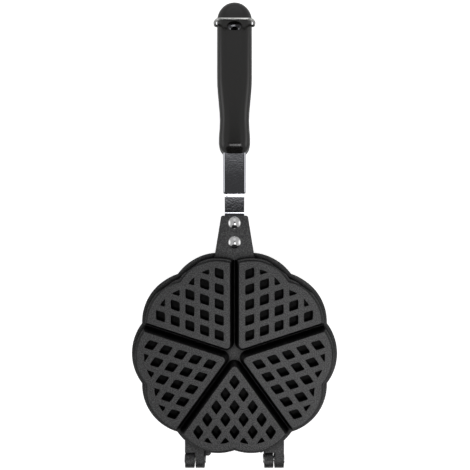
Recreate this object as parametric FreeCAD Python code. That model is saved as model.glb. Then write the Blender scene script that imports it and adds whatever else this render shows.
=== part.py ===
"""Stovetop waffle iron: two hinged cast plates with strap handles and a wire latch.

Each half is made in its own half frame: z = 0 is the parting plane, +z is its outside, the plate's
centre is at x = y = 0 and the handle runs along +y. The upper half stands as made. The lower half
is the same half turned over the handle's axis.
"""
import FreeCAD, Part
import math
import os

V = FreeCAD.Vector

# Plate: a flower of ten lobes, two to each heart
hearts = 5
plate_r = 85.0
lobe_notch_share = 0.947
plate_h = 14.0
flange_h = 5.0
wall_inset = 3.2
wall_draft = 0.8
rim_bevel_h = 2.0
rim_bevel_run = 1.9

# Grooves that part the hearts on the outside
groove_floor_h = 6.0
groove_half_w = 3.7
groove_floor_half_w = 0.45
field_tip_r = 3.0
groove_end_inset = 3.0

# Pockets in each outer heart field, on a lattice along its two straight sides
pocket_rows = 5
first_pocket_share = 0.246
pocket_pitch_share = 0.1465
pocket_side_share = 0.586
pocket_depth = 6.0
pocket_draft = 0.45
pocket_margin = 13.0

# Cooking side: five heart cavities with a peg behind each pocket
cavity_depth = 9.5
cavity_rim = 7.0
cavity_wall_run = 2.5
divider_drop = 1.0
divider_half_w = 1.2
divider_base_half_w = 5.4
cavity_tip_r = 4.0
peg_top_h = 4.0
peg_top_share = 0.53
peg_base_share = 0.755
peg_margin = 11.5

# Tongue that carries the strap
tongue_bury = 11.0
tongue_reach = 28.8
tongue_h = 8.0
tongue_end_half_w = 11.0
tongue_flare = 0.1625
tongue_corner_r = 1.8

# Hinge, beyond the plate's edge
hinge_reach = 4.8
ear_r = 7.0
swing_gap = 1.2
inner_ear_x = 24.9
inner_ear_w = 7.2
ear_gap = 1.3
outer_ear_w = 7.4
web_bury = 15.0
lug_w = 5.5
lug_step = 4.8
lug_h = 5.0
pin_r = 2.1
pin_clear = 0.05
pin_head_r = 3.4
pin_head_t = 0.8
pin_head_gap = 0.1

# Strap: foot under the tongue, slope, folded channel, flat tang inside the grip
strap_t = 1.8
foot_z = 1.4
foot_start_gap = 2.0
foot_end_gap = 2.7
foot_half_w = 8.9
slope_run = 14.5
slope_half_w = 8.1
tang_rise = 5.0
tang_half_w = 8.0
tang_corner_r = 5.0
bend_r = 3.0
channel_run = 34.7
channel_half_w = 9.4
channel_drop = 4.8
channel_wall = 1.6
channel_corner_r = 2.2
foot_clear = 0.2

# Rivets through tongue and strap
rivet_from_edge = 6.8
rivet_from_end = 6.1
rivet_r = 2.5
rivet_clear = 0.05
rivet_head_r = 5.3
rivet_head_h = 2.6
rivet_tail_r = 4.0
rivet_tail_h = 1.2

# Grip: a waisted bar seen from above, with a round nose seen from the side
grip_to_latch = 106.3
grip_h = 13.0
grip_gap = 0.8
grip_half_w = 14.4
heel_half_w = 12.9
waist_half_w = 11.8
heel_end_share = 0.11
waist_share = 0.22
shoulder_share = 0.46
heel_corner_r = 6.6
heel_r = 60.0
waist_r = 80.0
shoulder_r = 120.0
tip_corner_r = 12.0
grip_corner_r = 6.2
grip_edge_r = 1.4
strap_gap = 0.3
tang_clear = 0.15

# Hanging hole through the grip and the tang's eye behind it
hole_from_latch = 5.2
hole_half_x = 5.6
hole_half_y = 3.4
hole_flare = 0.8
hole_flare_depth = 1.6
eye_from_latch = 6.4
eye_r = 3.25
tang_past_latch = 5.0

# Screw that holds grip and tang, driven from the inner face
screw_from_heel = 39.3
screw_r = 1.9
screw_clear = 0.1
screw_head_r = 3.4
screw_head_h = 2.0
screw_sink = 0.6
screw_cover = 1.2
screw_slot_w = 0.9
screw_slot_depth = 0.9

# Wire latch, pivoted in the upper grip and thrown back over it
wire_r = 1.2
latch_z = 2.8
latch_overhang = 6.1
latch_foot_gap = 1.3
latch_top_r = 3.2
latch_foot_r = 2.0
latch_seat = 5.0
latch_lean = 5.8
latch_run_gap = 0.25

# Small allowances
overrun = 1.0

half_turn = 180.0
heart_step = 2 * half_turn / hearts
half_angle = math.radians(heart_step / 2)
lobe_half_angle = half_angle / 2
lobe_notch_r = lobe_notch_share * plate_r
lobe_centre_r = (plate_r ** 2 - lobe_notch_r ** 2) / (
    2 * (plate_r - lobe_notch_r * math.cos(lobe_half_angle)))
lobe_r = plate_r - lobe_centre_r
first_pocket_r = first_pocket_share * plate_r
pocket_pitch = pocket_pitch_share * plate_r
pocket_side = pocket_side_share * pocket_pitch
peg_top_side = peg_top_share * pocket_pitch
peg_base_side = peg_base_share * pocket_pitch
tongue_root_y = plate_r - tongue_bury
tongue_end_y = plate_r + tongue_reach
hinge_y = plate_r + hinge_reach
ear_reach_y = hinge_y - ear_r - swing_gap
outer_ear_x = inner_ear_x + inner_ear_w + ear_gap
web_root_y = plate_r - web_bury
lug_end_y = hinge_y - lug_step
foot_start_y = plate_r + foot_start_gap
slope_start_y = tongue_end_y + foot_end_gap
slope_end_y = slope_start_y + slope_run
tang_z = foot_z + tang_rise
rivet_ys = (plate_r + rivet_from_edge, tongue_end_y - rivet_from_end)
grip_start_y = slope_end_y + channel_run
grip_gap_z = grip_gap
grip_top_z = grip_gap + grip_h
latch_y = grip_start_y + grip_to_latch
hole_y = latch_y - hole_from_latch
eye_y = latch_y - eye_from_latch
tang_end_y = latch_y + tang_past_latch
screw_y = grip_start_y + screw_from_heel
latch_reach = grip_top_z - latch_z + latch_overhang
latch_top_x = grip_half_w + wire_r
latch_foot_x = latch_top_x + latch_foot_gap
nose_r = latch_reach - wire_r - latch_run_gap
nose_run = math.sqrt(nose_r ** 2 - (grip_gap_z + latch_z) ** 2)
grip_end_y = latch_y + nose_run
grip_length = grip_end_y - grip_start_y
centre_y = (grip_end_y - hinge_y - ear_r) / 2


def polar(r, angle, z):
    return V(r * math.cos(angle), r * math.sin(angle), z)


def loft(lower, upper):
    return Part.makeLoft([lower, upper], True, True)


def box(x0, x1, y0, y1, z0, z1):
    return Part.makeBox(x1 - x0, y1 - y0, z1 - z0, V(x0, y0, z0))


def cylinder(r, length, start, axis):
    return Part.makeCylinder(r, length, start, axis)


def side_prism(outline_edges, half_width):
    """A solid between x = -half_width and +half_width from edges drawn at x = -half_width."""
    face = Part.Face(Part.Wire(outline_edges))
    return face.extrude(V(2 * half_width, 0, 0))


def rounded_path(points, radii):
    """Straight runs between points, joined by tangent arcs at the inner ones."""
    edges = []
    last = points[0]
    for before, corner, after, r in zip(points, points[1:], points[2:], radii):
        back = (before - corner).normalize()
        ahead = (after - corner).normalize()
        half = back.getAngle(ahead) / 2
        reach = r / math.tan(half)
        inward = (back + ahead).normalize()
        start = corner + back * reach
        end = corner + ahead * reach
        middle = corner + inward * (r / math.sin(half) - r)
        edges.append(Part.LineSegment(last, start).toShape())
        edges.append(Part.Arc(start, middle, end).toShape())
        last = end
    edges.append(Part.LineSegment(last, points[-1]).toShape())
    return Part.Wire(edges)


def flower_wire(inset, z):
    """Ten arcs about the lobes' own centres, drawn in by inset."""
    r = lobe_r - inset
    reach = math.sin(lobe_half_angle) * lobe_centre_r
    notch_r = math.cos(lobe_half_angle) * lobe_centre_r + math.sqrt(r ** 2 - reach ** 2)
    edges = []
    for i in range(2 * hearts):
        middle = 2 * i * lobe_half_angle
        start = polar(notch_r, middle - lobe_half_angle, z)
        end = polar(notch_r, middle + lobe_half_angle, z)
        edges.append(Part.Arc(start, polar(lobe_centre_r + r, middle, z), end).toShape())
    return Part.Wire(edges)


def flower(z0, inset0, z1, inset1):
    return loft(flower_wire(inset0, z0), flower_wire(inset1, z1))


def sector_wire(side_gap, tip_r, z):
    """A heart's straight sides, side_gap from its two parting rays, and its rounded tip."""
    along = V(math.cos(half_angle), math.sin(half_angle), 0)
    inward = V(math.sin(half_angle), -math.cos(half_angle), 0)
    centre = V((side_gap + tip_r) / math.sin(half_angle), 0, z)
    foot = centre - inward * tip_r
    far = foot + along * plate_r
    mirrored = [V(p.x, -p.y, p.z) for p in (foot, far)]
    tip = centre - V(tip_r, 0, 0)
    edges = [Part.LineSegment(mirrored[1], mirrored[0]).toShape(),
             Part.Arc(mirrored[0], tip, foot).toShape(),
             Part.LineSegment(foot, far).toShape(),
             Part.LineSegment(far, mirrored[1]).toShape()]
    return Part.Wire(edges)


def rhombus(centre, side, z):
    """Corners of a pocket or peg, its sides along the heart's two straight sides."""
    long_half = side * math.cos(half_angle)
    short_half = side * math.sin(half_angle)
    return [V(centre.x - long_half, centre.y, z), V(centre.x, centre.y - short_half, z),
            V(centre.x + long_half, centre.y, z), V(centre.x, centre.y + short_half, z)]


def flat_face(corners):
    return Part.Face(Part.makePolygon(corners + corners[:1]))


def tapered_block(lower, upper):
    """A solid with flat sides between two outlines of as many corners."""
    faces = [flat_face(lower), flat_face(upper)]
    for i in range(len(lower)):
        j = (i + 1) % len(lower)
        faces.append(flat_face([lower[i], lower[j], upper[j], upper[i]]))
    return Part.makeSolid(Part.makeShell(faces))


def lattice_places():
    """(centre, whole) of each pocket of one heart, with its axis on +x."""
    places = []
    for i in range(pocket_rows):
        for j in range(pocket_rows):
            if i + j <= pocket_rows:
                x = first_pocket_r + (i + j) * pocket_pitch * math.cos(half_angle)
                y = (i - j) * pocket_pitch * math.sin(half_angle)
                places.append((V(x, y, 0), i + j < pocket_rows))
    return places


def studs(z0, side0, z1, side1, margin):
    """Tapered rhombic blocks on the lattice; those of the last row are cut to the lobes."""
    limit = flower(min(z0, z1) - overrun, margin, max(z0, z1) + overrun, margin)
    blocks = []
    for centre, whole in lattice_places():
        block = tapered_block(rhombus(centre, side0, z0), rhombus(centre, side1, z1))
        blocks.append(block if whole else block.common(limit))
    return Part.Compound(blocks)


def round_hearts(shape):
    """Five copies of one heart's shape, one of them pointing away from the handle."""
    copies = []
    for i in range(hearts):
        copy = shape.copy()
        copy.rotate(V(0, 0, 0), V(0, 0, 1), i * heart_step - half_turn / 2)
        copies.append(copy)
    return copies


def cooking_cut():
    """Five heart cavities with their pegs left standing."""
    slope = cavity_wall_run / (cavity_depth - divider_drop)
    floor_inset = cavity_rim + cavity_wall_run
    heart = loft(sector_wire(divider_half_w, cavity_tip_r, divider_drop),
                 sector_wire(divider_base_half_w, cavity_tip_r, cavity_depth))
    heart = heart.common(flower(divider_drop, cavity_rim, cavity_depth, floor_inset))
    taper = (peg_base_side - peg_top_side) / (cavity_depth - peg_top_h)
    heart = heart.cut(studs(peg_top_h, peg_top_side, cavity_depth + overrun,
                            peg_base_side + taper * overrun, peg_margin))
    relief = flower(-overrun, cavity_rim - slope * overrun, divider_drop, cavity_rim)
    return [relief] + round_hearts(heart)


def groove_cut():
    """The star of grooves between the heart fields."""
    top = plate_h + overrun
    slope = (groove_half_w - groove_floor_half_w) / (plate_h - groove_floor_h)
    run = slope * (top - groove_floor_h)
    field = loft(sector_wire(groove_floor_half_w, field_tip_r + groove_half_w - groove_floor_half_w,
                             groove_floor_h),
                 sector_wire(groove_floor_half_w + run,
                             field_tip_r + groove_half_w - groove_floor_half_w - run, top))
    disc = flower(groove_floor_h, groove_end_inset, top, groove_end_inset)
    return disc.cut(round_hearts(field))


def pocket_cut():
    bottom = plate_h - pocket_depth
    slope = 2 * pocket_draft / pocket_depth
    blocks = studs(bottom, pocket_side - slope * pocket_depth, plate_h + overrun,
                   pocket_side + slope * overrun, pocket_margin)
    return Part.Compound(round_hearts(blocks))


def tongue():
    root_half_w = tongue_end_half_w + tongue_flare * (tongue_end_y - tongue_root_y)
    corners = [V(-root_half_w, tongue_root_y, 0), V(root_half_w, tongue_root_y, 0),
               V(tongue_end_half_w, tongue_end_y, 0), V(-tongue_end_half_w, tongue_end_y, 0)]
    block = flat_face(corners).extrude(V(0, 0, tongue_h))
    ends = [e for e in block.Edges if e.BoundBox.ZLength > tongue_h / 2 and e.BoundBox.YMin > tongue_root_y + overrun]
    block = block.makeFillet(tongue_corner_r, ends)
    top = [e for e in block.Edges if e.BoundBox.ZMin > tongue_h / 2 and e.BoundBox.YMax > tongue_root_y + overrun]
    return block.makeFillet(tongue_corner_r / 2, top)


def tongue_cut():
    """The seat for the strap's foot and the rivet holes."""
    seat_h = foot_z + strap_t
    seat = box(-foot_half_w - foot_clear, foot_half_w + foot_clear,
               foot_start_y - foot_clear, tongue_end_y + overrun, -overrun, seat_h)
    holes = [cylinder(rivet_r + rivet_clear, tongue_h + 2 * overrun, V(0, y, -overrun), V(0, 0, 1))
             for y in rivet_ys]
    return [seat] + holes


def ear(x0, width):
    block = box(x0, x0 + width, -hinge_y, -ear_reach_y, 0, ear_r)
    barrel = cylinder(ear_r, width, V(x0, -hinge_y, 0), V(1, 0, 0))
    return block.fuse(barrel)


def hinge_side():
    """Webs on both sides, one outer and one inner ear, and the cast lug."""
    web_end_x = outer_ear_x + outer_ear_w
    pieces = [box(side * inner_ear_x if side > 0 else -web_end_x,
                  side * web_end_x if side > 0 else -inner_ear_x,
                  -ear_reach_y, -web_root_y, 0, ear_r) for side in (1, -1)]
    pieces.append(ear(outer_ear_x, outer_ear_w))
    pieces.append(ear(-inner_ear_x - inner_ear_w, inner_ear_w))
    lug_x = -inner_ear_x + lug_w / 2
    lug_r = lug_w / 2
    pieces.append(box(lug_x - lug_r, lug_x + lug_r, lug_r - lug_end_y, -web_root_y, 0, lug_h))
    pieces.append(cylinder(lug_r, lug_h, V(lug_x, lug_r - lug_end_y, 0), V(0, 0, 1)))
    return pieces


def plate():
    flange = flower(0, 0, flange_h, 0)
    wall_top = plate_h - rim_bevel_h
    wall = flower(0, wall_inset, wall_top, wall_inset + wall_draft)
    rim = flower(wall_top, wall_inset + wall_draft, plate_h, wall_inset + wall_draft + rim_bevel_run)
    body = flange.fuse([wall, rim, tongue()] + hinge_side()).removeSplitter()
    reach_x = outer_ear_x + outer_ear_w + overrun
    bore = cylinder(pin_r + pin_clear, 2 * reach_x, V(-reach_x, -hinge_y, 0), V(1, 0, 0))
    body = body.cut([groove_cut(), bore] + tongue_cut())
    body = body.cut(cooking_cut())
    return body.cut(pocket_cut())


def strip_outline(points, thickness, x):
    """A closed band above a polyline of (y, z), mitred at its bends."""
    upper = []
    for i, (y, z) in enumerate(points):
        before = points[max(i - 1, 0)]
        after = points[min(i + 1, len(points) - 1)]
        turn_in = math.atan2(z - before[1], y - before[0]) if i else None
        turn_out = math.atan2(after[1] - z, after[0] - y) if i < len(points) - 1 else turn_in
        turn_in = turn_out if turn_in is None else turn_in
        lean = (turn_in + turn_out) / 2
        reach = thickness / math.cos((turn_out - turn_in) / 2)
        upper.append((y - reach * math.sin(lean), z + reach * math.cos(lean)))
    ring = [V(x, y, z) for y, z in points + upper[::-1]]
    return Part.makePolygon(ring + ring[:1])


def bend_edges(shape, ys, tolerance):
    """Edges along x whose y lies near one of the bends."""
    found = []
    for e in shape.Edges:
        b = e.BoundBox
        if b.XLength > tolerance and b.YLength < tolerance and b.ZLength < tolerance:
            if any(abs(b.YMin - y) < tolerance for y in ys):
                found.append(e)
    return found


def strap():
    line = [(foot_start_y, foot_z), (slope_start_y, foot_z), (slope_end_y, tang_z), (tang_end_y, tang_z)]
    band = Part.Face(strip_outline(line, strap_t, -slope_half_w)).extrude(V(2 * slope_half_w, 0, 0))
    band = band.makeFillet(bend_r, bend_edges(band, (slope_start_y, slope_end_y), strap_t))
    foot = box(-foot_half_w, foot_half_w, foot_start_y, slope_start_y - bend_r, foot_z, foot_z + strap_t)
    channel_end = grip_start_y - strap_gap
    channel_top = tang_z + strap_t
    channel = box(-channel_half_w, channel_half_w, slope_end_y, channel_end,
                  channel_top - channel_drop, channel_top)
    long_edges = [e for e in channel.Edges if e.BoundBox.YLength > channel_half_w and e.BoundBox.ZMin > tang_z]
    channel = channel.makeFillet(channel_corner_r, long_edges)
    front = [e for e in channel.Edges
             if e.BoundBox.XLength > channel_half_w and e.BoundBox.YMax < slope_end_y + strap_t
             and e.BoundBox.ZMax < tang_z]
    channel = channel.makeFillet(channel_corner_r, front)
    inner = channel_half_w - channel_wall
    channel = channel.cut(box(-inner, inner, slope_end_y - overrun, channel_end + overrun,
                              channel_top - channel_drop - overrun, tang_z))
    trim = slope_half_w - tang_half_w
    tang_sides = [box(side * tang_half_w - (trim + overrun) * (side < 0),
                      side * tang_half_w + (trim + overrun) * (side > 0),
                      channel_end, tang_end_y + overrun, 0, grip_top_z) for side in (1, -1)]
    body = band.fuse([foot, channel]).removeSplitter().cut(tang_sides)
    corners = [e for e in body.Edges
               if e.BoundBox.YMin > tang_end_y - strap_t and e.BoundBox.ZLength > strap_t / 2]
    body = body.makeFillet(tang_corner_r, corners)
    holes = [cylinder(rivet_r + rivet_clear, plate_h, V(0, y, 0), V(0, 0, 1)) for y in rivet_ys]
    holes.append(cylinder(screw_r + screw_clear, plate_h, V(0, screw_y, 0), V(0, 0, 1)))
    holes.append(cylinder(eye_r, plate_h, V(0, eye_y, 0), V(0, 0, 1)))
    return body.cut(holes)


def rivet(y):
    """Domed head on the tongue, shank, and flat tail under the strap."""
    ball_r = (rivet_head_r ** 2 + rivet_head_h ** 2) / (2 * rivet_head_h)
    ball_z = tongue_h + rivet_head_h - ball_r
    head = Part.makeSphere(ball_r, V(0, y, ball_z)).common(
        cylinder(rivet_head_r + overrun, rivet_head_h + overrun, V(0, y, tongue_h), V(0, 0, 1)))
    shank = cylinder(rivet_r, tongue_h - foot_z + 2 * rivet_clear, V(0, y, foot_z - rivet_clear), V(0, 0, 1))
    tail = cylinder(rivet_tail_r, rivet_tail_h, V(0, y, foot_z - rivet_tail_h), V(0, 0, 1))
    return head.fuse([shank, tail]).removeSplitter()


def grip_outline():
    """The grip from above: square heel with round corners, waist, shoulder and round tip."""
    z = grip_gap_z
    side = [V(heel_half_w, grip_start_y, z),
            V(heel_half_w, grip_start_y + heel_end_share * grip_length, z),
            V(waist_half_w, grip_start_y + waist_share * grip_length, z),
            V(grip_half_w, grip_start_y + shoulder_share * grip_length, z),
            V(grip_half_w, grip_end_y, z)]
    radii = [heel_corner_r, heel_r, waist_r, shoulder_r, tip_corner_r]
    mirrored = [V(-p.x, p.y, p.z) for p in side[::-1]]
    heel = V(0, grip_start_y, z)
    return rounded_path([heel] + side + mirrored + [heel], radii + radii[::-1])


def nose_profile():
    """Side view that the grip stays within: flat back, shoulder for the wire, round nose."""
    x = -grip_half_w - overrun
    shoulder_y = latch_y - wire_r - latch_run_gap
    nose_z = -latch_z
    nose_rise = math.sqrt(nose_r ** 2 - (shoulder_y - latch_y) ** 2)
    heel_y = grip_start_y - overrun
    nose_start = V(x, shoulder_y, nose_z + nose_rise)
    nose_mid = V(x, latch_y + nose_r * math.sqrt(0.5), nose_z + nose_r * math.sqrt(0.5))
    nose_end = V(x, latch_y + nose_run, grip_gap_z)
    shoulder = V(x, shoulder_y, grip_top_z)
    edges = [Part.LineSegment(V(x, heel_y, grip_gap_z), V(x, heel_y, grip_top_z)).toShape(),
             Part.LineSegment(V(x, heel_y, grip_top_z), shoulder).toShape(),
             Part.LineSegment(shoulder, nose_start).toShape(),
             Part.Arc(nose_start, nose_mid, nose_end).toShape(),
             Part.LineSegment(nose_end, V(x, heel_y, grip_gap_z)).toShape()]
    return side_prism(edges, grip_half_w + overrun)


def oval_wire(half_x, half_y, z):
    ellipse = Part.Ellipse(V(0, 0, z), half_x, half_y)
    wire = Part.Wire([ellipse.toShape()])
    wire.translate(V(0, hole_y, 0))
    return wire


def grip_cuts():
    slot = box(-tang_half_w - tang_clear, tang_half_w + tang_clear, grip_start_y - overrun,
               tang_end_y + tang_clear, tang_z - tang_clear, tang_z + strap_t + tang_clear)
    hole = loft(oval_wire(hole_half_x, hole_half_y, 0), oval_wire(hole_half_x, hole_half_y, grip_top_z))
    flare_z = grip_top_z - hole_flare_depth
    flare_step = hole_flare * (hole_flare_depth + overrun) / hole_flare_depth
    flare = loft(oval_wire(hole_half_x, hole_half_y, flare_z),
                 oval_wire(hole_half_x + flare_step, hole_half_y + flare_step, grip_top_z + overrun))
    head_top = grip_gap_z + screw_sink + screw_head_h
    sink = cylinder(screw_head_r + screw_clear, head_top + overrun, V(0, screw_y, -overrun), V(0, 0, 1))
    shank_end = grip_top_z - screw_cover + screw_clear
    shank = cylinder(screw_r + screw_clear, shank_end, V(0, screw_y, 0), V(0, 0, 1))
    return [slot, hole, flare, sink, shank]


def level_edges(shape, z):
    """Edges that lie flat at height z."""
    return [e for e in shape.Edges if all(abs(v.Z - z) < pin_clear for v in e.Vertexes)
            and e.BoundBox.ZLength < pin_clear]


def grip(with_pivots):
    body = Part.Face(grip_outline()).extrude(V(0, 0, grip_h))
    body = body.makeFillet(grip_corner_r, level_edges(body, grip_top_z))
    body = body.makeFillet(grip_edge_r, level_edges(body, grip_gap_z))
    body = body.common(nose_profile())
    cuts = grip_cuts()
    if with_pivots:
        seat_x = grip_half_w - latch_seat
        cuts += [cylinder(wire_r + pin_clear, latch_seat + overrun, V(side * seat_x, latch_y, latch_z),
                          V(side, 0, 0)) for side in (1, -1)]
    return body.cut(cuts)


def screw():
    head_z = grip_gap_z + screw_sink
    head = cylinder(screw_head_r, screw_head_h, V(0, screw_y, head_z), V(0, 0, 1))
    shank_length = grip_top_z - screw_cover - head_z - screw_head_h
    shank = cylinder(screw_r, shank_length, V(0, screw_y, head_z + screw_head_h), V(0, 0, 1))
    slot = box(-screw_head_r, screw_head_r, screw_y - screw_slot_w / 2, screw_y + screw_slot_w / 2,
               head_z - overrun, head_z + screw_slot_depth)
    return head.fuse(shank).cut(slot).removeSplitter()


def hinge_pin(side):
    reach = outer_ear_x + outer_ear_w - inner_ear_x + 2 * pin_head_gap
    start = V(side * (inner_ear_x - pin_head_gap), -hinge_y, 0)
    axis = V(side, 0, 0)
    body = cylinder(pin_r, reach, start, axis)
    far = start + axis * reach
    heads = [cylinder(pin_head_r, pin_head_t, start, -axis), cylinder(pin_head_r, pin_head_t, far, axis)]
    return body.fuse(heads).removeSplitter()


def latch():
    """The wire loop, bent in one plane and leant back about its pivot."""
    end_x = grip_half_w - latch_seat + pin_clear
    top_z = latch_z + latch_reach
    points = [V(-end_x, latch_y, latch_z), V(-latch_foot_x, latch_y, latch_z),
              V(-latch_top_x, latch_y, top_z), V(latch_top_x, latch_y, top_z),
              V(latch_foot_x, latch_y, latch_z), V(end_x, latch_y, latch_z)]
    path = rounded_path(points, (latch_foot_r, latch_top_r, latch_top_r, latch_foot_r))
    ring = Part.Wire([Part.Circle(points[0], V(1, 0, 0), wire_r).toShape()])
    wire = path.makePipeShell([ring], True, False)
    wire.rotate(V(0, latch_y, latch_z), V(1, 0, 0), latch_lean)
    return wire


def place(shape, lower=False):
    """From the half frame to the part's frame: on its rest plane, centred on its box."""
    placed = shape.copy()
    if lower:
        placed.rotate(V(0, 0, 0), V(0, 1, 0), half_turn)
    placed.translate(V(0, -centre_y, plate_h))
    return placed


def nodes():
    plate_half = plate()
    strap_half = strap()
    screw_half = screw()
    rivet_halves = {"inner": rivet(rivet_ys[0]), "outer": rivet(rivet_ys[1])}
    made = {}
    for half in ("lower", "upper"):
        under = half == "lower"
        made[half + "_plate"] = place(plate_half, under)
        made[half + "_strap"] = place(strap_half, under)
        made[half + "_grip"] = place(grip(not under), under)
        made[half + "_grip_screw"] = place(screw_half, under)
        for name, shape in rivet_halves.items():
            made[half + "_rivet_" + name] = place(shape, under)
    made["hinge_pin_left"] = place(hinge_pin(-1))
    made["hinge_pin_right"] = place(hinge_pin(1))
    made["wire_latch"] = place(latch())
    return made


os.makedirs("parts", exist_ok=True)
for name, shape in nodes().items():
    solids = shape.Solids
    clean = solids[0] if len(solids) == 1 else Part.Compound(solids)
    clean.exportStep("parts/" + name + ".step")
    size = clean.BoundBox
    print(name, len(solids), clean.isValid(), round(clean.Volume, 1),
          [round(v, 2) for v in (size.XMin, size.XMax, size.YMin, size.YMax, size.ZMin, size.ZMax)])
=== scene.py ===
import math

import bmesh
import bpy
from mathutils import Matrix, Vector


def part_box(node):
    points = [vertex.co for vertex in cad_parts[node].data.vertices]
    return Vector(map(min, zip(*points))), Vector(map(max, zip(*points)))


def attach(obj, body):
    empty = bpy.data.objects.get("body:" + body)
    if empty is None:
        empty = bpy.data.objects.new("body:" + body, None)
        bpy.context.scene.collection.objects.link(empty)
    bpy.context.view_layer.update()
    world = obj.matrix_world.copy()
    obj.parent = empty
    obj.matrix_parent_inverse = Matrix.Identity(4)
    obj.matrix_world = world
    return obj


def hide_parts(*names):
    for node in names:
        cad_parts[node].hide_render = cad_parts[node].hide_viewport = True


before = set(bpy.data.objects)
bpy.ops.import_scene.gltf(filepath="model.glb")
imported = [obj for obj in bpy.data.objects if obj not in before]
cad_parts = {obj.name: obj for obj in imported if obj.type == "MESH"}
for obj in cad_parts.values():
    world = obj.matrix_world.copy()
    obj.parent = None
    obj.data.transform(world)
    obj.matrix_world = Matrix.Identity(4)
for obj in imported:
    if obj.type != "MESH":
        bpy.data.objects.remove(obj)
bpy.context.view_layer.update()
print("frame loaded:", len(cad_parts), "nodes")

mm = 0.001


def hexColor(code):
    # sRGB hex to the linear values that shaders take
    channels = [int(code[i:i + 2], 16) / 255 for i in (1, 3, 5)]
    linear = [c / 12.92 if c <= 0.04045 else ((c + 0.055) / 1.055) ** 2.4 for c in channels]
    return (*linear, 1.0)


def addNode(tree, kind, settings=None, links=None):
    # one node, with its sockets or properties set and its inputs linked
    node = tree.nodes.new(kind)
    for key, value in (settings or {}).items():
        if isinstance(key, int) or key in node.inputs:
            node.inputs[key].default_value = value
        else:
            setattr(node, key, value)
    for key, source in (links or {}).items():
        tree.links.new(source, node.inputs[key])
    return node


def newMaterial(name):
    material = bpy.data.materials.new(name)
    material.use_nodes = True
    material.node_tree.nodes.clear()
    return material, material.node_tree


# Coated casting: a black non-stick coat with a fine sandy grain, with painted shade that darkens and dulls
# its recesses and walls
casting = {
    "coat": "#141415", "coatHigh": "#464647", "spreadFrom": 0.42, "spreadTo": 0.64,
    "grainMm": 0.9, "pebbleMm": 2.4, "roughness": 0.42, "glossShare": 0.5,
    "bumpMm": 0.1, "bumpStrength": 0.6, "edgeMm": 0.4,
    "recessMm": 7.0, "recessDark": 0.1, "recessFrom": 0.5, "recessTo": 0.98,
    "wallDark": 0.42, "wallFrom": 0.35, "wallTo": 0.8}


def castingMaterial(s):
    material, tree = newMaterial("nonStickCoatedCastAluminium")
    places = addNode(tree, "ShaderNodeTexCoord")
    coords = places.outputs["Object"]
    grain = addNode(tree, "ShaderNodeTexNoise", {"Scale": 1 / (s["grainMm"] * mm)}, {"Vector": coords})
    pebble = addNode(tree, "ShaderNodeTexNoise", {"Scale": 1 / (s["pebbleMm"] * mm), "Detail": 1.0},
                     {"Vector": coords})
    spread = addNode(tree, "ShaderNodeMapRange", {"From Min": s["spreadFrom"], "From Max": s["spreadTo"]},
                     {"Value": grain.outputs["Fac"]})
    tint = addNode(tree, "ShaderNodeMix",
                   {"data_type": "RGBA", 6: hexColor(s["coat"]), 7: hexColor(s["coatHigh"])},
                   {"Factor": spread.outputs[0]})
    # painted shade: recesses are darkened and dulled by their ambient occlusion, standing in for the shade
    # that falls in them
    recess = addNode(tree, "ShaderNodeAmbientOcclusion",
                     {"samples": 8, "only_local": True, "Distance": s["recessMm"] * mm})
    recessShade = addNode(tree, "ShaderNodeMapRange",
                   {"From Min": s["recessFrom"], "From Max": s["recessTo"], "To Min": s["recessDark"]},
                   {"Value": recess.outputs["AO"]})
    # painted shade: steep walls are darkened too, standing in for the light they get less of than the tops
    facing = addNode(tree, "ShaderNodeSeparateXYZ", links={0: places.outputs["Normal"]})
    level = addNode(tree, "ShaderNodeMath", {"operation": "ABSOLUTE"}, {0: facing.outputs["Z"]})
    wallShade = addNode(tree, "ShaderNodeMapRange",
                   {"From Min": s["wallFrom"], "From Max": s["wallTo"], "To Min": s["wallDark"]},
                   {"Value": level.outputs[0]})
    # painted shade of recesses and walls together, multiplied into the coat's colour and its specular level
    paintedShade = addNode(tree, "ShaderNodeMath", {"operation": "MULTIPLY"},
                   {0: recessShade.outputs[0], 1: wallShade.outputs[0]})
    shadedCoat = addNode(tree, "ShaderNodeMix", {"data_type": "RGBA", "blend_type": "MULTIPLY", "Factor": 1.0},
                     {6: tint.outputs[2], 7: paintedShade.outputs[0]})
    gloss = addNode(tree, "ShaderNodeMath", {"operation": "MULTIPLY", 1: s["glossShare"]},
                    {0: paintedShade.outputs[0]})
    height = addNode(tree, "ShaderNodeMath", {"operation": "ADD"},
                     {0: grain.outputs["Fac"], 1: pebble.outputs["Fac"]})
    rounded = addNode(tree, "ShaderNodeBevel", {"samples": 6, "Radius": s["edgeMm"] * mm})
    bump = addNode(tree, "ShaderNodeBump", {"Strength": s["bumpStrength"], "Distance": s["bumpMm"] * mm},
                   {"Height": height.outputs[0], "Normal": rounded.outputs["Normal"]})
    shader = addNode(tree, "ShaderNodeBsdfPrincipled", {"Roughness": s["roughness"]},
                     {"Base Color": shadedCoat.outputs[2], "Specular IOR Level": gloss.outputs[0],
                      "Normal": bump.outputs["Normal"]})
    addNode(tree, "ShaderNodeOutputMaterial", links={"Surface": shader.outputs[0]})
    return material


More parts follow.
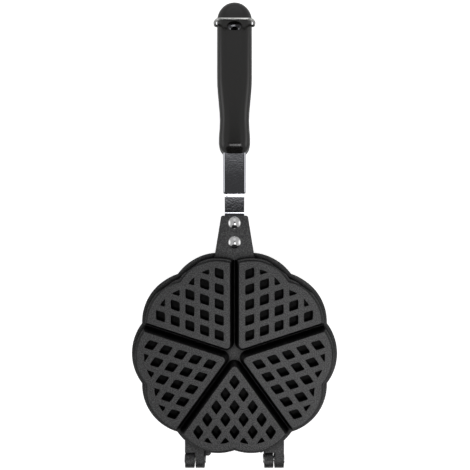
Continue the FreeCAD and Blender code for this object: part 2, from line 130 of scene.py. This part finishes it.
# Bright steel: rolled sheet, headed rivets, turned pins, drawn wire and screws, told apart by settings
strapSteel = {"name": "platedSheetSteel", "color": "#c6c7cd", "roughness": 0.07, "specksMm": 1.3,
              "stretch": (1.0, 1.0, 1.0), "bumpMm": 0.06, "wavesMm": 7.0, "waveBumpMm": 0.06}
rivetSteel = {"name": "headedRivetSteel", "color": "#d4d4d4", "roughness": 0.1, "specksMm": 0.8,
              "stretch": (1.0, 1.0, 1.0), "bumpMm": 0.004, "wavesMm": 2.6, "waveBumpMm": 0.25}
pinSteel = {"name": "turnedPinSteel", "color": "#b8b8b8", "roughness": 0.28, "specksMm": 0.4,
            "stretch": (1.0, 0.1, 0.1), "bumpMm": 0.004, "wavesMm": 4.0, "waveBumpMm": 0.004}
wireSteel = {"name": "drawnWireSteel", "color": "#c4c4c2", "roughness": 0.22, "specksMm": 0.4,
             "stretch": (0.1, 1.0, 0.1), "bumpMm": 0.004, "wavesMm": 5.0, "waveBumpMm": 0.01}
screwSteel = {"name": "zincPlatedScrewSteel", "color": "#b4b6b8", "roughness": 0.3, "specksMm": 0.5,
              "stretch": (1.0, 1.0, 1.0), "bumpMm": 0.006, "wavesMm": 3.0, "waveBumpMm": 0.006}

steelSurface = {"smoothest": 0.6, "roughest": 1.5, "bumpStrength": 0.5}


def steelMaterial(s):
    material, tree = newMaterial(s["name"])
    coords = addNode(tree, "ShaderNodeTexCoord").outputs["Object"]
    stretched = addNode(tree, "ShaderNodeMapping", {"Scale": s["stretch"]}, {"Vector": coords})
    specks = addNode(tree, "ShaderNodeTexNoise", {"Scale": 1 / (s["specksMm"] * mm)},
                     {"Vector": stretched.outputs["Vector"]})
    waves = addNode(tree, "ShaderNodeTexNoise", {"Scale": 1 / (s["wavesMm"] * mm), "Detail": 1.0},
                    {"Vector": coords})
    gloss = addNode(tree, "ShaderNodeMapRange",
                    {"To Min": s["roughness"] * steelSurface["smoothest"],
                     "To Max": s["roughness"] * steelSurface["roughest"]},
                    {"Value": specks.outputs["Fac"]})
    strength = steelSurface["bumpStrength"]
    wavy = addNode(tree, "ShaderNodeBump", {"Strength": strength, "Distance": s["waveBumpMm"] * mm},
                   {"Height": waves.outputs["Fac"]})
    bump = addNode(tree, "ShaderNodeBump", {"Strength": strength, "Distance": s["bumpMm"] * mm},
                   {"Height": specks.outputs["Fac"], "Normal": wavy.outputs["Normal"]})
    shader = addNode(tree, "ShaderNodeBsdfPrincipled", {"Metallic": 1.0, "Base Color": hexColor(s["color"])},
                     {"Roughness": gloss.outputs[0], "Normal": bump.outputs["Normal"]})
    addNode(tree, "ShaderNodeOutputMaterial", links={"Surface": shader.outputs[0]})
    return material


# Grip plastic: compression-moulded black phenolic, glossy with a faint ripple
gripPlastic = {"color": "#1a1918", "roughness": 0.2, "smoothest": 0.8, "roughest": 1.25, "rippleMm": 14,
               "bumpMm": 0.12, "bumpStrength": 0.3}


def gripMaterial(s):
    material, tree = newMaterial("mouldedBlackPhenolic")
    coords = addNode(tree, "ShaderNodeTexCoord").outputs["Object"]
    ripple = addNode(tree, "ShaderNodeTexNoise", {"Scale": 1 / (s["rippleMm"] * mm), "Detail": 1.0},
                     {"Vector": coords})
    gloss = addNode(tree, "ShaderNodeMapRange",
                    {"To Min": s["roughness"] * s["smoothest"], "To Max": s["roughness"] * s["roughest"]},
                    {"Value": ripple.outputs["Fac"]})
    bump = addNode(tree, "ShaderNodeBump", {"Strength": s["bumpStrength"], "Distance": s["bumpMm"] * mm},
                   {"Height": ripple.outputs["Fac"]})
    shader = addNode(tree, "ShaderNodeBsdfPrincipled", {"Base Color": hexColor(s["color"])},
                     {"Roughness": gloss.outputs[0], "Normal": bump.outputs["Normal"]})
    addNode(tree, "ShaderNodeOutputMaterial", links={"Surface": shader.outputs[0]})
    return material


finishes = {
    "plate": castingMaterial(casting), "strap": steelMaterial(strapSteel),
    "grip_screw": steelMaterial(screwSteel), "grip": gripMaterial(gripPlastic),
    "rivet": steelMaterial(rivetSteel), "pin": steelMaterial(pinSteel), "latch": steelMaterial(wireSteel)}

for nodeName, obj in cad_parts.items():
    finish = next(material for key, material in finishes.items() if key in nodeName)
    for materialSlot in obj.material_slots:
        materialSlot.material = finish
print("materials given to", len(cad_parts), "nodes")

# The two halves are alike: sizes below are millimetres of the upper half, with the plate's centre at
# zero, the parting plane at height 0 and the handle along y
pinLow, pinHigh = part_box("hinge_pin_left")
hingeY = (pinLow[1] + pinHigh[1]) / 2
partingZ = (pinLow[2] + pinHigh[2]) / 2
hingeToPlate = 89.8
home = Matrix.Translation((0, hingeY + hingeToPlate * mm, partingZ)) @ Matrix.Scale(mm, 4)
halves = {"upper": home, "lower": home @ Matrix.Diagonal((-1, 1, -1, 1))}

# Shared by all shapes: cutters reach past what they cut, arcs are drawn in steps, close points are merged
over = 1.0
arcDegrees = 6
weld = {"copyMm": 0.002, "mergeMm": 0.004, "collapseMm": 0.001}


def roundedPoints(points, radii):
    # a closed outline with each corner rounded by its own radius
    rounded = []
    for i, (corner, r) in enumerate(zip(points, radii)):
        corner, before, after = (Vector(p) for p in (corner, points[i - 1], points[(i + 1) % len(points)]))
        if r == 0:
            rounded.append(corner)
            continue
        back, ahead = (before - corner).normalized(), (after - corner).normalized()
        half = back.angle(ahead) / 2
        centre = corner + (back + ahead).normalized() * (r / math.sin(half))
        start, end = (corner + way * (r / math.tan(half)) - centre for way in (back, ahead))
        turn = math.atan2(start.cross(end), start.dot(end))
        steps = max(2, round(abs(math.degrees(turn)) / arcDegrees))
        rounded += [centre + Matrix.Rotation(turn * step / steps, 2) @ start for step in range(steps + 1)]
    return rounded


def prism(bm, points, low, high, axis="z"):
    # a flat outline raised along one axis
    turns = {"z": lambda p, h: (p[0], p[1], h), "x": lambda p, h: (h, p[0], p[1]),
             "y": lambda p, h: (p[0], h, p[1])}
    face = bm.faces.new([bm.verts.new(turns[axis](p, low)) for p in points])
    raised = bmesh.ops.extrude_face_region(bm, geom=[face])["geom"]
    ends = [g for g in raised if isinstance(g, bmesh.types.BMVert)]
    bmesh.ops.translate(bm, verts=ends, vec=turns[axis]((0, 0), high - low))
    bmesh.ops.recalc_face_normals(bm, faces=bm.faces)


def stackOutlines(bm, loops, ring=False):
    # joins outlines of as many points, one above the other, and closes both ends or the whole ring
    loops = [[bm.verts.new(point) for point in loop] for loop in loops]
    for low, high in zip(loops, loops[1:] + (loops[:1] if ring else [])):
        for i in range(len(low)):
            bm.faces.new((low[i - 1], low[i], high[i], high[i - 1]))
    if not ring:
        bm.faces.new(loops[0])
        bm.faces.new(loops[-1])
    bmesh.ops.recalc_face_normals(bm, faces=bm.faces)


def drawnIn(points, inset, z):
    # an outline moved in by inset along its own normals, at height z
    moved = []
    for i, point in enumerate(points):
        back = (point - points[i - 1]).normalized()
        ahead = (points[(i + 1) % len(points)] - point).normalized()
        way = (back + ahead).normalized()
        moved.append((point.x - way.y * inset / way.dot(ahead), point.y + way.x * inset / way.dot(ahead), z))
    return moved


def meshObject(name, bm, place=Matrix.Identity(4)):
    bmesh.ops.transform(bm, matrix=place, verts=bm.verts)
    mesh = bpy.data.meshes.new(name)
    bm.to_mesh(mesh)
    bm.free()
    piece = bpy.data.objects.new(name, mesh)
    bpy.context.scene.collection.objects.link(piece)
    return piece


def combine(piece, other, operation, solver="EXACT"):
    # joins, cuts or clips one solid by another, which is then gone
    modifier = piece.modifiers.new("combine", "BOOLEAN")
    modifier.object, modifier.operation, modifier.solver = other, operation, solver
    view = bpy.context.view_layer
    view.update()
    shaped = bpy.data.meshes.new_from_object(piece.evaluated_get(bpy.context.evaluated_depsgraph_get()))
    piece.modifiers.clear()
    piece.data = shaped
    bpy.data.objects.remove(other)


def finishPiece(piece, finish, body, node, sharpDegrees):
    bm = bmesh.new()
    bm.from_mesh(piece.data)
    bmesh.ops.remove_doubles(bm, verts=bm.verts, dist=weld["mergeMm"] * mm)
    bmesh.ops.dissolve_degenerate(bm, edges=bm.edges, dist=weld["collapseMm"] * mm)
    bm.to_mesh(piece.data)
    bm.free()
    # normals carried over from the CAD mesh no longer fit the new faces
    for layer in [layer for layer in piece.data.attributes if layer.name == "custom_normal"]:
        piece.data.attributes.remove(layer)
    piece.data.materials.clear()
    piece.data.materials.append(finish)
    piece.data.shade_smooth()
    piece.data.set_sharp_from_angle(angle=math.radians(sharpDegrees))
    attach(piece, body)
    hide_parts(node)


# Plate: the lobes' ledge under the field, rounded rhombic pockets, and last rows that follow the lobes
plate = {"r": 85.0, "notchShare": 0.947, "h": 14.0, "ledgeZ": 12.05, "ledgeIn": 5.2, "stepIn": 6.3,
         "rows": 5, "firstShare": 0.246, "pitchShare": 0.1465, "sideShare": 0.625, "depth": 6.0,
         "lastDepth": 4.0, "draft": 0.6, "cornerR": 1.3, "lastMargin": 12.0, "limitDrop": 4.0,
         "fillZ": 9.6, "fillTopZ": 13.98, "fillShare": 0.66, "lobeSteps": 12, "sharpDegrees": 28}


def flowerOutline(inset):
    # ten lobes, each an arc about its own centre
    step = math.pi / 10
    notch = plate["notchShare"] * plate["r"]
    centreR = (plate["r"] ** 2 - notch ** 2) / (2 * (plate["r"] - notch * math.cos(step)))
    r = plate["r"] - centreR - inset
    reach = math.sin(step) * centreR
    span = math.asin(reach / r) + step
    points = []
    for lobe in range(10):
        turn = 2 * lobe * step
        for k in range(plate["lobeSteps"]):
            a = turn + span * (2 * k / plate["lobeSteps"] - 1)
            points.append((centreR * math.cos(turn) + r * math.cos(a),
                           centreR * math.sin(turn) + r * math.sin(a)))
    return points


def rhombicBlocks(bm, share, low, high, last):
    # tapered rhombic blocks on every heart's lattice, either its whole rows or its last one
    half = math.pi / 5
    pitch = plate["pitchShare"] * plate["r"]
    side = share * pitch
    for heart in range(5):
        turn = Matrix.Rotation(2 * half * heart - math.pi / 2, 4, "Z")
        for i in range(plate["rows"]):
            for j in range(plate["rows"]):
                if i + j > plate["rows"] or (i + j == plate["rows"]) != last:
                    continue
                x = plate["firstShare"] * plate["r"] + (i + j) * pitch * math.cos(half)
                y = (i - j) * pitch * math.sin(half)
                cone = bmesh.ops.create_cone(bm, cap_ends=True, segments=4, radius1=side - plate["draft"],
                                             radius2=side, depth=high - low)
                verts = cone["verts"]
                shape = Matrix.Diagonal((math.cos(half), math.sin(half), 1, 1))
                bmesh.ops.transform(bm, matrix=turn @ Matrix.Translation((x, y, (low + high) / 2)) @ shape,
                                    verts=verts)
                walls = {e for v in verts for e in v.link_edges
                         if abs(e.verts[0].co.z - e.verts[1].co.z) > (high - low) / 2}
                bmesh.ops.bevel(bm, geom=list(walls), offset=plate["cornerR"], segments=2, profile=0.5,
                                affect="EDGES", material=-1)


def makePlate(half):
    place = halves[half]
    bm = bmesh.new()
    bm.from_mesh(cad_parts[half + "_plate"].data)
    bmesh.ops.remove_doubles(bm, verts=bm.verts, dist=weld["copyMm"] * mm)
    piece = meshObject(half + "PlateCasting", bm)
    # the CAD's last row is filled, then cut again as deep and as wide as the lobes allow
    bm = bmesh.new()
    rhombicBlocks(bm, plate["fillShare"], plate["fillZ"], plate["fillTopZ"], True)
    combine(piece, meshObject("fill", bm, place), "UNION")
    bm = bmesh.new()
    top = plate["h"] + over
    rhombicBlocks(bm, plate["sideShare"], plate["h"] - plate["lastDepth"], top, True)
    lastPockets = meshObject("lastPockets", bm, place)
    bm = bmesh.new()
    prism(bm, flowerOutline(plate["lastMargin"]), plate["ledgeZ"] - plate["limitDrop"], top + over)
    combine(lastPockets, meshObject("limit", bm, place), "INTERSECT")
    combine(piece, lastPockets, "DIFFERENCE")
    # the other rows' pockets and the ledge round the field are cut together
    bm = bmesh.new()
    rhombicBlocks(bm, plate["sideShare"], plate["h"] - plate["depth"], top, False)
    rings = [(-over, plate["ledgeZ"]), (plate["ledgeIn"], plate["ledgeZ"]), (plate["stepIn"], plate["h"]),
             (plate["stepIn"], top), (-over, top)]
    stackOutlines(bm, [[(x, y, z) for x, y in flowerOutline(inset)] for inset, z in rings], ring=True)
    combine(piece, meshObject("pockets", bm, place), "DIFFERENCE")
    return piece


# Strap: a strip bent up from its foot, folded down at both sides where it is bare, and a tang with an eye
strap = {"t": 1.8, "footZ": 1.4, "tangZ": 6.4, "footY": 87.0, "slopeY": 116.5, "slopeEndY": 131.0,
         "tangEndY": 277.0, "halfW": 8.1, "footHalfW": 8.9, "footBendR": 3.0, "channelBendR": 14.0,
         "channelY": 133.2, "channelEndY": 165.4, "channelHalfW": 9.4, "channelZ": 3.4, "channelWall": 1.6,
         "channelR": 2.2, "eyeY": 265.6, "eyeR": 3.25, "footGap": 3.0, "sharpDegrees": 28}


def makeStrap(half):
    s, place = strap, halves[half]
    t, top = s["t"], s["tangZ"] + s["t"]
    shift = t * math.tan(math.atan((s["tangZ"] - s["footZ"]) / (s["slopeEndY"] - s["slopeY"])) / 2)
    line = [(s["footY"], s["footZ"]), (s["slopeY"], s["footZ"]), (s["slopeEndY"], s["tangZ"]),
            (s["tangEndY"], s["tangZ"]), (s["tangEndY"], top), (s["slopeEndY"] - shift, top),
            (s["slopeY"] - shift, s["footZ"] + t), (s["footY"], s["footZ"] + t)]
    radii = [0, s["footBendR"] + t, s["channelBendR"] - t, 0, 0, s["channelBendR"], s["footBendR"], 0]
    bm = bmesh.new()
    prism(bm, roundedPoints(line, radii), -s["halfW"], s["halfW"], "x")
    piece = meshObject(half + "StrapSteel", bm, place)
    bm = bmesh.new()
    w = s["footHalfW"]
    footEndY = s["slopeY"] - s["footGap"]
    prism(bm, [(-w, s["footY"]), (w, s["footY"]), (w, footEndY), (-w, footEndY)], s["footZ"], s["footZ"] + t)
    combine(piece, meshObject("foot", bm, place), "UNION")
    bm = bmesh.new()
    w, inner = s["channelHalfW"], s["channelHalfW"] - s["channelWall"]
    fold = [(-w, s["channelZ"]), (-w, top), (w, top), (w, s["channelZ"]), (inner, s["channelZ"]),
            (inner, s["tangZ"]), (-inner, s["tangZ"]), (-inner, s["channelZ"])]
    r = s["channelR"]
    prism(bm, roundedPoints(fold, [0, r, r, 0, 0, 0, 0, 0]), s["channelY"], s["channelEndY"], "y")
    combine(piece, meshObject("channel", bm, place), "UNION")
    bm = bmesh.new()
    bmesh.ops.create_cone(bm, cap_ends=True, segments=32, radius1=s["eyeR"], radius2=s["eyeR"], depth=4 * t)
    bmesh.ops.translate(bm, verts=bm.verts, vec=(0, s["eyeY"], top))
    combine(piece, meshObject("eye", bm, place), "DIFFERENCE")
    return piece


# Grip: a waisted bar with a square heel and a round tip, an oval hole and a sunk screw
grip = {"startY": 164.1, "endY": 289.0, "heelHalfW": 12.9, "waistHalfW": 11.8, "halfW": 14.4,
        "heelShare": 0.12, "waistShare": 0.225, "shoulderShare": 0.46, "radii": (9.2, 60, 80, 120, 14.3),
        "lowZ": 0.8, "topZ": 13.8, "topR": 8.5, "lowR": 1.4, "holeY": 266.8, "holeHalf": (5.4, 3.4),
        "flare": 0.8, "flareDepth": 1.2, "flareRise": 0.5, "screwY": 205.0, "sinkR": 3.5, "sinkZ": 3.4,
        "edgeSteps": 10, "loopY": 272.0, "loopZ": -2.8, "noseR": 17.4, "noseBeyond": 6.0, "noseHalfW": 20.0,
        "noseSteps": 24, "sharpDegrees": 28}


def makeGrip(half):
    g, place = grip, halves[half]
    length = g["endY"] - g["startY"]
    side = [(g["heelHalfW"], g["startY"]), (g["heelHalfW"], g["startY"] + g["heelShare"] * length),
            (g["waistHalfW"], g["startY"] + g["waistShare"] * length),
            (g["halfW"], g["startY"] + g["shoulderShare"] * length), (g["halfW"], g["endY"])]
    mirrored = [(-x, y) for x, y in side[::-1]]
    outline = roundedPoints(side + mirrored, g["radii"] + g["radii"][::-1])
    quarter = [math.pi / 2 * k / g["edgeSteps"] for k in range(g["edgeSteps"] + 1)]
    levels = [(g["lowR"] * (1 - math.sin(a)), g["lowZ"] + g["lowR"] * (1 - math.cos(a))) for a in quarter]
    levels += [(g["topR"] * (1 - math.cos(a)), g["topZ"] - g["topR"] * (1 - math.sin(a))) for a in quarter]
    bm = bmesh.new()
    stackOutlines(bm, [drawnIn(outline, inset, z) for inset, z in levels])
    piece = meshObject(half + "GripMoulding", bm, place)
    if half == "lower":
        # the nose is cut round, so that the loop swings past it; the exact solver leaves nothing of the grip
        lastTurn = math.asin((-over - g["loopZ"]) / g["noseR"])
        turns = [math.pi / 2 + (lastTurn - math.pi / 2) * k / g["noseSteps"]
                 for k in range(g["noseSteps"] + 1)]
        nose = [(g["loopY"] + g["noseR"] * math.cos(a), g["loopZ"] + g["noseR"] * math.sin(a)) for a in turns]
        outY, outZ = g["endY"] + g["noseBeyond"], nose[0][1] + 2 * over
        bm = bmesh.new()
        prism(bm, nose + [(outY, -over), (outY, outZ), (g["loopY"], outZ)],
              -g["noseHalfW"], g["noseHalfW"], "x")
        combine(piece, meshObject("nose", bm, place), "DIFFERENCE", "MANIFOLD")
    bm = bmesh.new()
    holeX, holeY = g["holeHalf"]
    flareTop = g["topZ"] + g["flareRise"]
    for low, high, grow in ((-over, g["topZ"] + over, 0),
                            (g["topZ"] - g["flareDepth"], flareTop, g["flare"])):
        hole = bmesh.ops.create_cone(bm, cap_ends=True, segments=40, radius1=1, radius2=1 + grow / holeX,
                                     depth=high - low)
        bmesh.ops.transform(bm, matrix=Matrix.Translation((0, g["holeY"], (low + high) / 2))
                            @ Matrix.Diagonal((holeX, holeY, 1, 1)), verts=hole["verts"])
        combine(piece, meshObject("hole", bm, place), "DIFFERENCE")
        bm = bmesh.new()
    sink = bmesh.ops.create_cone(bm, cap_ends=True, segments=32, radius1=g["sinkR"], radius2=g["sinkR"],
                                 depth=2 * g["sinkZ"])
    bmesh.ops.translate(bm, verts=sink["verts"], vec=(0, g["screwY"], 0))
    combine(piece, meshObject("sink", bm, place), "DIFFERENCE")
    return piece


# Wire latch: one loop of wire, its feet in the upper grip, standing over the tip
loop = {"wireR": 1.0, "axisY": 272.0, "axisZ": 2.8, "seatX": 9.6, "footX": 16.2, "kneeZ": 9.5, "topX": 13.6,
        "reach": 18.5, "lean": 11.0, "topR": 4.5, "kneeR": 12.0, "footR": 2.0, "sharpDegrees": 40}


def makeLoop():
    w = loop
    side = [(w["seatX"], 0), (w["footX"], 0), (w["footX"], w["kneeZ"]), (w["topX"], w["reach"])]
    radii = [0, w["footR"], w["kneeR"], w["topR"]]
    line = roundedPoints([(-x, z) for x, z in side] + side[::-1], radii + radii[::-1])
    curve = bpy.data.curves.new("loopLine", "CURVE")
    curve.dimensions = "3D"
    curve.bevel_depth = w["wireR"]
    curve.bevel_resolution = 4
    curve.use_fill_caps = True
    spline = curve.splines.new("POLY")
    spline.points.add(len(line) - 1)
    for point, (x, y) in zip(spline.points, line):
        point.co = (x, 0, y, 1)
    swept = bpy.data.objects.new("loopLine", curve)
    bm = bmesh.new()
    bm.from_mesh(bpy.data.meshes.new_from_object(swept))
    bpy.data.objects.remove(swept)
    bmesh.ops.recalc_face_normals(bm, faces=bm.faces)
    lean = Matrix.Translation((0, w["axisY"], w["axisZ"])) @ Matrix.Rotation(math.radians(w["lean"]), 4, "X")
    return meshObject("latchWireLoop", bm, halves["upper"] @ lean)


for half in halves:
    body = half + "_half"
    finishPiece(makePlate(half), finishes["plate"], body, half + "_plate",
                plate["sharpDegrees"])
    finishPiece(makeStrap(half), finishes["strap"], body, half + "_strap",
                strap["sharpDegrees"])
    finishPiece(makeGrip(half), finishes["grip"], body, half + "_grip", grip["sharpDegrees"])
    print(half, "half: plate, strap and grip made")
finishPiece(makeLoop(), finishes["latch"], "latch", "wire_latch", loop["sharpDegrees"])
print("latch loop made")

# Studio: pale floor, and a light tent that is dark overhead. Its patches are a soft box behind the hinge, a
# faint one beyond the grip, a dark one low behind the hinge and one low at each side
studio = {
    "floorSize": 8.0, "floorColor": "#e6e6e6", "floorGlow": 0.8,
    "tent": 0.55, "overhead": 0.06, "darkTo": 9.0, "tentFrom": 15.0,
    "patches": [
        {"turn": -66.0, "tilt": 17.5, "half": 11.0, "soft": 3.0, "level": 6.0},
        {"turn": 90.0, "tilt": 46.0, "half": 18.0, "soft": 4.0, "level": 0.3},
        {"turn": -90.0, "tilt": 66.0, "half": 39.0, "soft": 4.0, "level": -0.53},
        {"turn": 0.0, "tilt": 84.0, "half": 30.0, "soft": 14.0, "level": 0.9},
        {"turn": 180.0, "tilt": 84.0, "half": 30.0, "soft": 14.0, "level": 0.9}]}

bpy.ops.mesh.primitive_plane_add(size=studio["floorSize"])
floor = bpy.context.object
floor.name = "studioFloor"
floorMaterial, floorTree = newMaterial("matteFloorPaper")
floorPath = addNode(floorTree, "ShaderNodeLightPath")
floorSoft = addNode(floorTree, "ShaderNodeBsdfDiffuse", {"Color": hexColor(studio["floorColor"])})
floorGlow = addNode(floorTree, "ShaderNodeEmission", {"Color": (1.0, 1.0, 1.0, 1.0)})
glowLevel = addNode(floorTree, "ShaderNodeMath", {"operation": "MULTIPLY", 1: studio["floorGlow"]},
                    {0: floorPath.outputs["Is Camera Ray"]})
floorTree.links.new(glowLevel.outputs[0], floorGlow.inputs["Strength"])
floorBoth = addNode(floorTree, "ShaderNodeAddShader",
                    links={0: floorSoft.outputs[0], 1: floorGlow.outputs[0]})
addNode(floorTree, "ShaderNodeOutputMaterial", links={"Surface": floorBoth.outputs[0]})
floor.data.materials.append(floorMaterial)

world = bpy.data.worlds.new("studioWorld")
bpy.context.scene.world = world
world.use_nodes = True
worldTree = world.node_tree
worldTree.nodes.clear()
direction = addNode(worldTree, "ShaderNodeTexCoord").outputs["Generated"]


def addPatch(patch):
    # a soft round patch of the tent, turned from +x and tilted from overhead, all in degrees
    turn, tilt = math.radians(patch["turn"]), math.radians(patch["tilt"])
    aim = (math.cos(turn) * math.sin(tilt), math.sin(turn) * math.sin(tilt), math.cos(tilt))
    close = addNode(worldTree, "ShaderNodeVectorMath", {"operation": "DOT_PRODUCT", 1: aim}, {0: direction})
    edges = {"From Min": math.cos(math.radians(patch["half"])),
             "From Max": math.cos(math.radians(patch["half"] - patch["soft"]))}
    return addNode(worldTree, "ShaderNodeMapRange", {**edges, "To Max": patch["level"]},
                   {"Value": close.outputs["Value"]})


parts = addNode(worldTree, "ShaderNodeSeparateXYZ", links={"Vector": direction})
sky = addNode(worldTree, "ShaderNodeMapRange",
              {"From Min": math.cos(math.radians(studio["tentFrom"])),
               "From Max": math.cos(math.radians(studio["darkTo"])),
               "To Min": studio["tent"], "To Max": studio["overhead"]},
              {"Value": parts.outputs["Z"]})
tent = sky
for patch in studio["patches"]:
    tent = addNode(worldTree, "ShaderNodeMath", {"operation": "ADD"},
                   {0: tent.outputs[0], 1: addPatch(patch).outputs[0]})
worldPath = addNode(worldTree, "ShaderNodeLightPath")
level = addNode(worldTree, "ShaderNodeMix", {"data_type": "FLOAT", 3: 1.0},
                {"Factor": worldPath.outputs["Is Camera Ray"], 2: tent.outputs[0]})
backdrop = addNode(worldTree, "ShaderNodeBackground", {"Color": (1.0, 1.0, 1.0, 1.0)},
                   {"Strength": level.outputs[0]})
addNode(worldTree, "ShaderNodeOutputWorld", links={"Surface": backdrop.outputs[0]})
print("studio set")

# Camera: straight above the tongue, close enough for the photograph's perspective
view = {"x": 0.42, "fromHinge": 187.6, "aboveFloor": 364.0, "frameHalf": 197.4, "frameAt": 350.0,
        "clipMm": 10}
cameraData = bpy.data.cameras.new("overheadCamera")
cameraData.sensor_fit = "HORIZONTAL"
cameraData.angle = 2 * math.atan(view["frameHalf"] / view["frameAt"])
cameraData.clip_start = view["clipMm"] * mm
camera = bpy.data.objects.new("overheadCamera", cameraData)
camera.location = (view["x"] * mm, hingeY + view["fromHinge"] * mm, view["aboveFloor"] * mm)
bpy.context.scene.collection.objects.link(camera)
bpy.context.scene.camera = camera
bpy.context.scene.view_settings.view_transform = "Standard"
